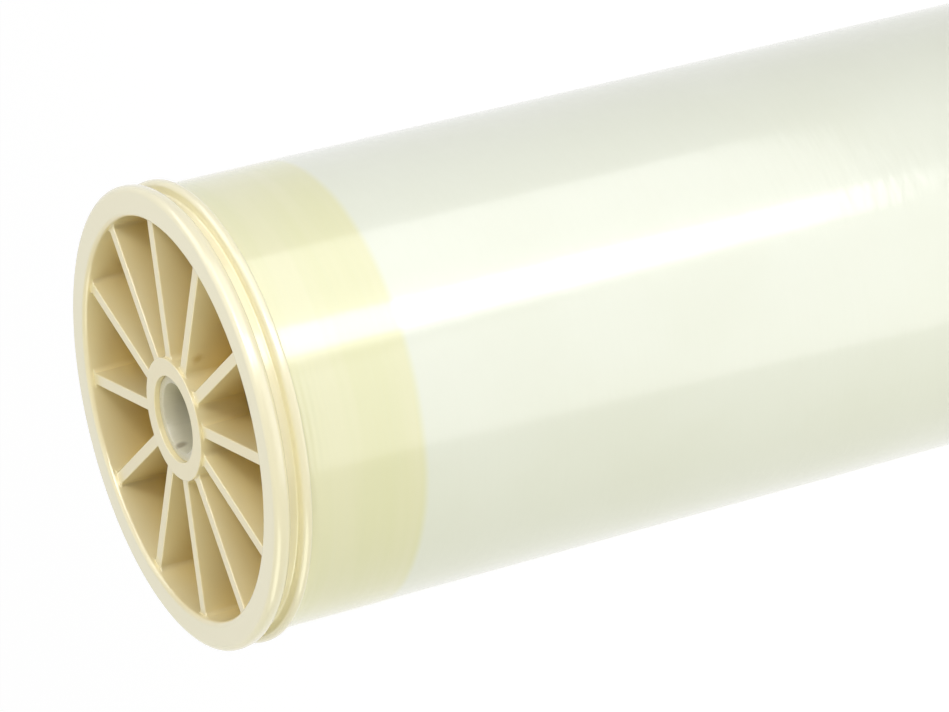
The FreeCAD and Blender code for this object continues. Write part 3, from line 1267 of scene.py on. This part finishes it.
@dataclass(frozen=True)
class Softbox:
    """One soft lamp, at a bearing, lift and distance from the point it faces.

    A card is a lamp that shows only as a sheen.
    """

    name: str
    bearing: float
    lift: float
    distance: float
    width: float
    height: float
    power: float
    card: bool = False
    tint: Triple = WHITE

    def build(self, middle: Vector) -> None:
        """Make the lamp.

        Args:
            middle: The point it faces.
        """
        lamp = bpy.data.lights.new(self.name, "AREA")
        lamp.shape = "RECTANGLE"
        lamp.size, lamp.size_y = self.width, self.height
        lamp.energy = self.power
        lamp.color = self.tint
        holder = added(self.name, lamp)
        away = direction(self.bearing, self.lift)
        holder.rotation_mode = "QUATERNION"
        holder.rotation_quaternion = away.to_track_quat("Z", "Y")
        holder.location = middle + away * self.distance
        holder.visible_diffuse = not self.card
        log.info("lamp %s", self.name)


@dataclass(frozen=True)
class Studio:
    """The plain pale surroundings: a white world, and a white floor that shows shadows."""

    ambient: float = 0.30
    floor_radius: float = 12.0
    floor_sides: int = 96
    floor_drop: float = 0.0002
    floor_grey: float = 0.8
    floor_share: float = 0.34
    floor_glow: float = 0.88

    @staticmethod
    def seen(graph: Graph) -> Socket:
        """Give 1 for rays from the camera, and for mirrored and transmitted ones."""
        rays = graph.put("ShaderNodeLightPath").outputs
        direct = graph.calculate("MAXIMUM", rays["Is Camera Ray"], rays["Is Glossy Ray"])
        return graph.calculate("MAXIMUM", direct, rays["Is Transmission Ray"])

    def build_world(self) -> None:
        """Make the world: white to the eye, and softer as a source of light."""
        world = bpy.data.worlds.new("studio")
        bpy.context.scene.world = world
        graph = Graph(world)
        eye = graph.put("ShaderNodeBackground", {"Color": WHITE, "Strength": 1.0})
        light = graph.put("ShaderNodeBackground", {"Color": WHITE, "Strength": self.ambient})
        either = {0: self.seen(graph), 1: light.outputs[0], 2: eye.outputs[0]}
        mix = graph.put("ShaderNodeMixShader", either)
        graph.put("ShaderNodeOutputWorld", {"Surface": mix.outputs[0]})

    def build_floor(self) -> None:
        """Make the floor, a disc: to the eye it glows white, less where a shadow falls."""
        graph = Graph.of_material("pale_floor")
        plain = graph.put("ShaderNodeBsdfDiffuse", {"Color": (self.floor_grey,) * 3})
        dim = graph.put("ShaderNodeBsdfDiffuse", {"Color": (self.floor_share,) * 3})
        glow = graph.put("ShaderNodeEmission", {"Strength": self.floor_glow})
        both = graph.put("ShaderNodeAddShader", {0: dim.outputs[0], 1: glow.outputs[0]})
        either = {0: self.seen(graph), 1: plain.outputs[0], 2: both.outputs[0]}
        mix = graph.put("ShaderNodeMixShader", either)
        graph.put("ShaderNodeOutputMaterial", {"Surface": mix.outputs[0]})
        radius = np.array([0.0, self.floor_radius])[:, None]
        points = about_axis(radius, even_angles(self.floor_sides), -self.floor_drop)
        sheet = Sheet.grid(points, wrap_columns=True)
        mesh = bpy.data.meshes.new("floor")
        mesh.from_pydata(sheet.points.tolist(), [], sheet.faces[:, ::-1].tolist())
        mesh.materials.append(graph.owner)
        added("floor", mesh)


@dataclass(frozen=True)
class Viewpoint:
    """The camera: where it stands round the brine end, how it is rolled, and its lens."""

    azimuth: float = 2.392
    elevation: float = 24.757
    roll: float = -104.30
    distance: float = 2.07365
    aside: float = 0.12798
    above: float = 0.02706
    lens: float = 187.2
    sensor: float = 36.0
    nearest: float = 0.05
    farthest: float = 60.0

    def build(self, target: Vector) -> None:
        """Make the camera.

        The view direction comes from azimuth and elevation, and the camera's right and
        up are the level ones turned about it by the roll.

        Args:
            target: The point that the distance and the sideways offsets are taken from.
        """
        turn, roll = math.radians(self.azimuth), math.radians(self.roll)
        back = direction(self.azimuth, self.elevation)
        level_right = Vector((math.cos(turn), math.sin(turn), 0.0))
        level_up = back.cross(level_right)
        right = level_right * math.cos(roll) + level_up * math.sin(roll)
        up = back.cross(right)
        data = bpy.data.cameras.new("camera")
        data.sensor_width = self.sensor
        data.lens = self.lens
        data.clip_start, data.clip_end = self.nearest, self.farthest
        camera = added("camera", data)
        camera.rotation_mode = "QUATERNION"
        camera.rotation_quaternion = Matrix((right, up, back)).transposed().to_quaternion()
        camera.location = target + right * self.aside + up * self.above + back * self.distance
        bpy.context.scene.camera = camera
        log.info("camera at %.3f %.3f %.3f", *camera.location)


LAMPS_FACE = Vector((0.0, -0.02, -0.066))
"""The point that the lamps face, measured from the middle of the brine end's face."""

SOFTBOXES = (
    Softbox("face_fill", 135.0, 70.9, 1.4, 1.0, 1.0, 3.3),
    Softbox("from_above", 45.0, 60.0, 1.3, 0.9, 0.9, 2.0),
    Softbox("overhead", 43.0, 20.0, 1.05, 1.15, 0.6, 3.5),
    Softbox("far_side", -15.5, -41.5, 0.9, 0.8, 0.8, 2.5),
    Softbox("low_fill", -82.8, 17.4, 1.3, 1.0, 1.0, 7.7, tint=(1.0, 0.99, 0.78)),
    Softbox("key", 36.1, 29.5, 1.4, 0.25, 0.25, 3.2),
    Softbox("strip", 25.0, -5.0, 1.3, 0.32, 1.2, 2.2),
    Softbox("wide_card", 43.0, 0.0, 1.05, 1.16, 1.6, 9.5, card=True),
    Softbox("edge_card", 94.0, 28.0, 1.05, 0.6, 0.9, 3.6, card=True),
    Softbox("strip_card", 25.0, -1.0, 1.3, 0.32, 2.2, 8.0, card=True),
)


def build_studio(top: float) -> None:
    """Set up the view, the surroundings and the lamps.

    Args:
        top: Height of the brine end's face in metres.
    """
    bpy.context.scene.view_settings.view_transform = "Standard"
    face = Vector((0.0, 0.0, top))
    Viewpoint().build(face)
    studio = Studio()
    studio.build_world()
    studio.build_floor()
    for softbox in SOFTBOXES:
        softbox.build(face + LAMPS_FACE)


def build_element() -> None:
    """Build and dress every piece of the element, in order from the axis outwards."""
    tube, roll, film = Span.of("product_tube"), Span.of("membrane_roll"), Span.of("wrap_film")
    tape, shell, seal = Span.of("feed_end_tape"), Span.of("fibreglass_shell"), Span.of("brine_seal")
    cap_span = Span.of("feed_end_cap")
    length = Span.of("brine_end_cap").end
    ProductTube(tube).build(TubePlastic().material())
    MembraneRoll(roll, Span.of("core_wrap").radius).build(LeafEdges().material())
    cap = EndCap(
        length, cap_span.radius, cap_span.end, tape.start, film.radius, shell.radius, tube.radius)
    plastic = MouldedPlastic().material(length, cap.rim_bore)
    for end in End:
        cap.build(end, plastic)
    FibreglassShell(shell, film.radius, tape.radius, tape.end, length).build(
        WoundFibreglass().material(length, tape.end))
    seat = cap.rim_radius - cap.groove_depth + BrineSeal.CLEARANCE
    heel = shell.radius + cap.flange_height - BrineSeal.HEEL_BELOW_FLANGE
    BrineSeal(seal, seat, heel).build(Rubber().material())
    for wrapping, nodes in WRAPPINGS.items():
        material = wrapping.material()
        for node in nodes:
            dress_node(node, material)


def write_sizes() -> None:
    """Log that the sizes are not written."""
    log.info("sizes written")


def main() -> None:
    """Build the studio and the element."""
    logging.basicConfig(level=logging.INFO, format="%(name)s: %(message)s")
    build_studio(cad_high.z)
    build_element()
    write_sizes()


if __name__ == "__main__":
    main()
